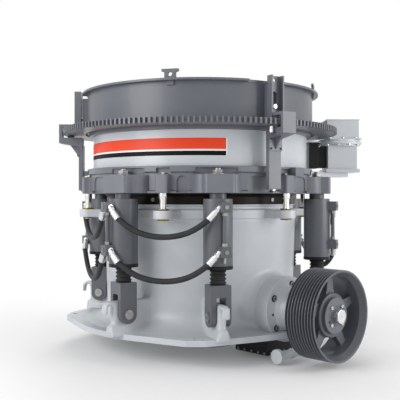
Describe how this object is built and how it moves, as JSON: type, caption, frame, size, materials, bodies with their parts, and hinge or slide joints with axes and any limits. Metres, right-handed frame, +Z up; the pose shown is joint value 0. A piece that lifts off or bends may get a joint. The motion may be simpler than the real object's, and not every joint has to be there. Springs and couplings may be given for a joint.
{
  "type": "cone crusher",
  "caption": "Cone crusher with tramp release cylinders, a toothed bowl adjustment ring, a round feed hopper and a grooved V-belt sheave.",
  "frame": {"origin": "centre of the frame hub's flat foot, at floor level", "axes": "+Z up along the crushing axis; +X along the countershaft towards the sheave; +Y completes the right-handed frame"},
  "size_m": [2.986, 2.8859, 2.462],
  "materials": {
    "light_grey_paint": "satin",
    "dark_grey_paint": "satin",
    "black_paint": "satin",
    "rubber": "matte",
    "machined_steel": "machined",
    "wear_steel": "as cast"
  },
  "bodies": {
    "frame": {"main_frame": "light_grey_paint", "frame_hub": "light_grey_paint", "main_shaft": "machined_steel", "eccentric": "wear_steel", "crusher_head": "wear_steel", "mantle": "wear_steel", "feed_plate": "wear_steel", "countershaft_box": "light_grey_paint", "guard_plate": "black_paint", "oil_pipe": "light_grey_paint", "clevis_1": "dark_grey_paint", "clevis_2": "dark_grey_paint", "clevis_3": "dark_grey_paint", "clevis_4": "dark_grey_paint", "clevis_5": "dark_grey_paint", "clevis_6": "dark_grey_paint", "boot_1": "rubber", "boot_2": "rubber", "boot_3": "rubber", "boot_4": "rubber", "boot_5": "rubber", "boot_6": "rubber"},
    "ring": {"adjustment_ring": "dark_grey_paint", "junction_box": "dark_grey_paint", "drive_gearbox": "light_grey_paint", "pinion_cover": "light_grey_paint", "cylinder_1": "dark_grey_paint", "cylinder_2": "dark_grey_paint", "cylinder_3": "dark_grey_paint", "cylinder_4": "dark_grey_paint", "cylinder_5": "dark_grey_paint", "cylinder_6": "dark_grey_paint", "roller_post_1": "dark_grey_paint", "roller_post_2": "dark_grey_paint", "roller_post_3": "dark_grey_paint", "upper_hose_1": "rubber", "lower_hose_1": "rubber", "upper_hose_2": "rubber", "lower_hose_2": "rubber", "upper_hose_3": "rubber", "lower_hose_3": "rubber", "upper_hose_4": "rubber", "lower_hose_4": "rubber", "upper_hose_5": "rubber", "lower_hose_5": "rubber"},
    "drive": {"drive_ring": "dark_grey_paint"},
    "bowl": {"bowl": "light_grey_paint", "bowl_liner": "wear_steel", "adjustment_cap": "dark_grey_paint", "hopper": "dark_grey_paint"},
    "sheave": {"countershaft": "machined_steel", "sheave_bushing": "dark_grey_paint", "sheave": "dark_grey_paint"}
  },
  "joints": [
    {"name": "ring_lift", "type": "slide", "parent": "frame", "child": "ring", "axis": [0, 0, 1], "range_m": [0, 0.06], "deforming": ["boot_1", "boot_2", "boot_3", "boot_4", "boot_5", "boot_6"]},
    {"name": "drive_ring_turn", "type": "hinge", "parent": "ring", "child": "drive", "pos_m": [0, 0, 1.995], "axis": [0, 0, 1], "range_deg": [0, 1440]},
    {"name": "bowl_lift", "type": "slide", "parent": "drive", "child": "bowl", "axis": [0, 0, 1], "range_m": [0, 0.1005]},
    {"name": "sheave_turn", "type": "hinge", "parent": "frame", "child": "sheave", "pos_m": [1.523, 0, 0.43], "axis": [1, 0, 0], "continuous": true}
  ],
  "couplings": [
    {"joint": "bowl_lift", "follows": "drive_ring_turn", "m_per_rad": 0.0039789}
  ]
}
